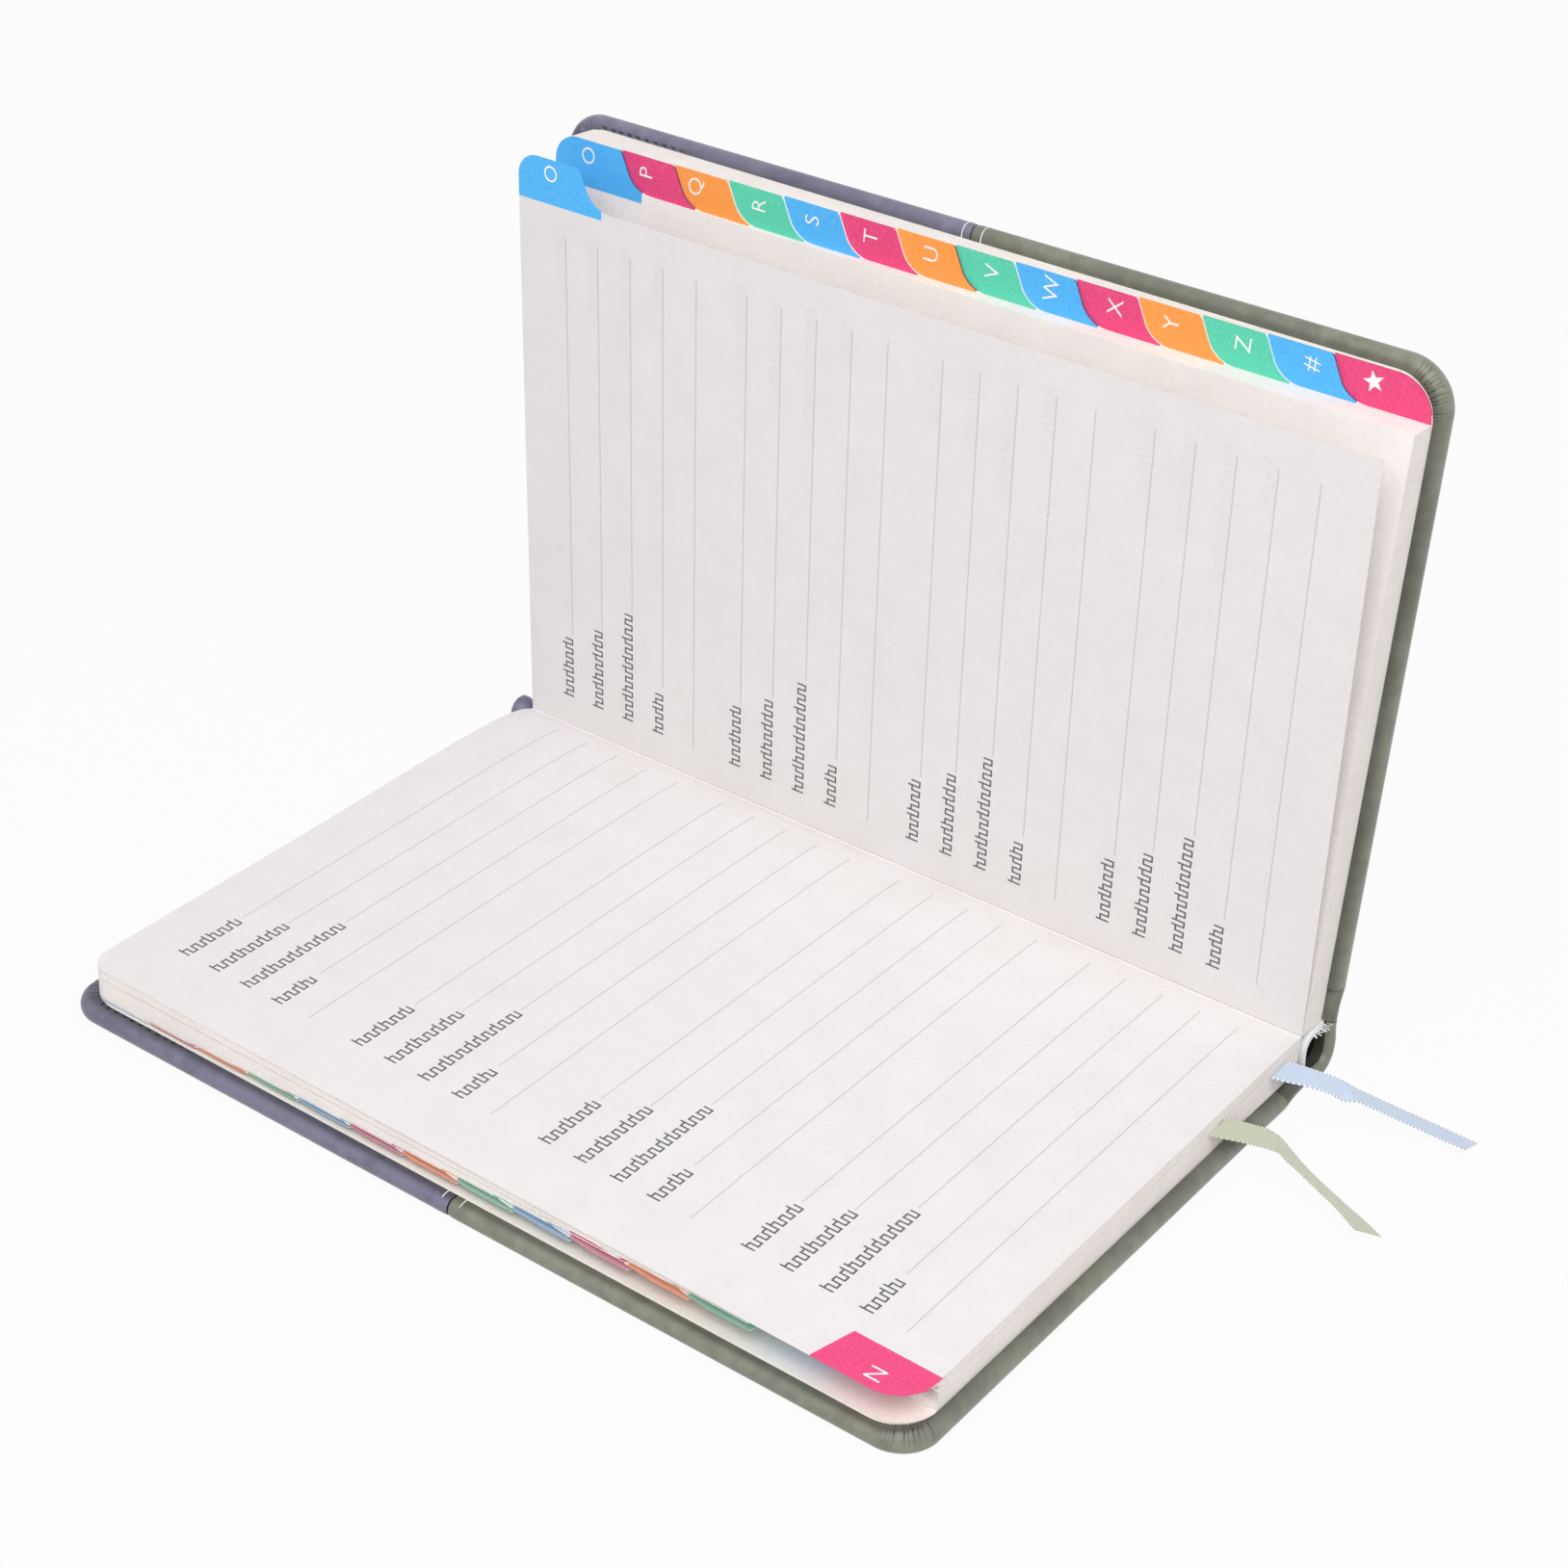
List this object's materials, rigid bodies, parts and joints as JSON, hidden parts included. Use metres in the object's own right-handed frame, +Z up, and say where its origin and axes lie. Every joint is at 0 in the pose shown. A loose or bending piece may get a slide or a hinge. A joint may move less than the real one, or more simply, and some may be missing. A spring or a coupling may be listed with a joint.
{
  "type": "tabbed address book",
  "caption": "Hardback address book standing half open, with a padded two-tone cover, step-cut index tabs down both fore edges, ruled leaves and two ribbon markers.",
  "frame": {"origin": "on the front cover's outer flat face, which lies on the table, halfway across it and halfway up the pages", "axes": "+Z up from the table, +Y along the spine to the head of the book, -X to the front half's fore edge"},
  "size_m": [0.1632, 0.2502, 0.158],
  "materials": {
    "slate_leather": "soft satin, fine grain",
    "olive_leather": "soft satin, fine grain",
    "cream_paper": "matte",
    "grey_board": "matte",
    "foam_padding": "matte",
    "lining_cloth": "matte, open weave",
    "blue_satin": "satin",
    "sage_satin": "satin"
  },
  "bodies": {
    "front_cover": {"front_board": "grey_board", "front_padding": "foam_padding", "front_leather_slate": "slate_leather", "front_leather_olive": "olive_leather", "front_joint_leather_slate": "slate_leather", "front_joint_leather_olive": "olive_leather", "front_pastedown": "cream_paper"},
    "front_block": {"front_flyleaf": "cream_paper", "section_A": "cream_paper", "section_B": "cream_paper", "section_C": "cream_paper", "section_D": "cream_paper", "section_E": "cream_paper", "section_F": "cream_paper", "section_G": "cream_paper", "section_H": "cream_paper", "section_I": "cream_paper", "section_J": "cream_paper", "section_K": "cream_paper", "section_L": "cream_paper", "section_M": "cream_paper", "section_N": "cream_paper", "front_spine_lining": "lining_cloth", "spine_leather_slate": "slate_leather", "spine_leather_olive": "olive_leather", "ribbon_blue_held": "blue_satin", "ribbon_blue_tail": "blue_satin", "ribbon_green_held": "sage_satin", "ribbon_green_tail": "sage_satin"},
    "back_block": {"back_flyleaf": "cream_paper", "section_O": "cream_paper", "section_P": "cream_paper", "section_Q": "cream_paper", "section_R": "cream_paper", "section_S": "cream_paper", "section_T": "cream_paper", "section_U": "cream_paper", "section_V": "cream_paper", "section_W": "cream_paper", "section_X": "cream_paper", "section_Y": "cream_paper", "section_Z": "cream_paper", "section_number": "cream_paper", "section_star": "cream_paper", "back_spine_lining": "lining_cloth"},
    "back_cover": {"back_board": "grey_board", "back_padding": "foam_padding", "back_leather_slate": "slate_leather", "back_leather_olive": "olive_leather", "back_joint_leather_slate": "slate_leather", "back_joint_leather_olive": "olive_leather", "back_pastedown": "cream_paper"},
    "turning_leaf": {"leaf_N": "cream_paper"},
    "lifted_leaf": {"leaf_O": "cream_paper"}
  },
  "joints": [
    {"name": "front_cover_hinge", "type": "hinge", "parent": "front_cover", "child": "front_block", "pos_m": [0.0764, 0, 0.0045], "axis": [0, -1, 0], "range_deg": [-40, 0], "deforming": ["front_joint_leather_slate", "front_joint_leather_olive"]},
    {"name": "book_opening", "type": "hinge", "parent": "front_block", "child": "back_block", "pos_m": [0.0764, 0, 0.01341], "axis": [0, 1, 0], "range_deg": [-92, 80], "deforming": ["spine_leather_slate", "spine_leather_olive", "leaf_N", "leaf_O"]},
    {"name": "back_cover_hinge", "type": "hinge", "parent": "back_block", "child": "back_cover", "pos_m": [0.08531, 0, 0.0131], "axis": [0, -1, 0], "range_deg": [-85, 0], "deforming": ["back_joint_leather_slate", "back_joint_leather_olive"]},
    {"name": "leaf_N_turn", "type": "hinge", "parent": "front_block", "child": "turning_leaf", "pos_m": [0.0764, 0, 0.01341], "axis": [0, 1, 0], "range_deg": [0, 80]},
    {"name": "leaf_O_lift", "type": "hinge", "parent": "back_block", "child": "lifted_leaf", "pos_m": [0.0764, 0, 0.01341], "axis": [0, -1, 0], "range_deg": [-5.05, 4.4]}
  ],
  "couplings": [
    {"joint": "leaf_O_lift", "follows": "book_opening", "ratio": 0.0543}
  ]
}
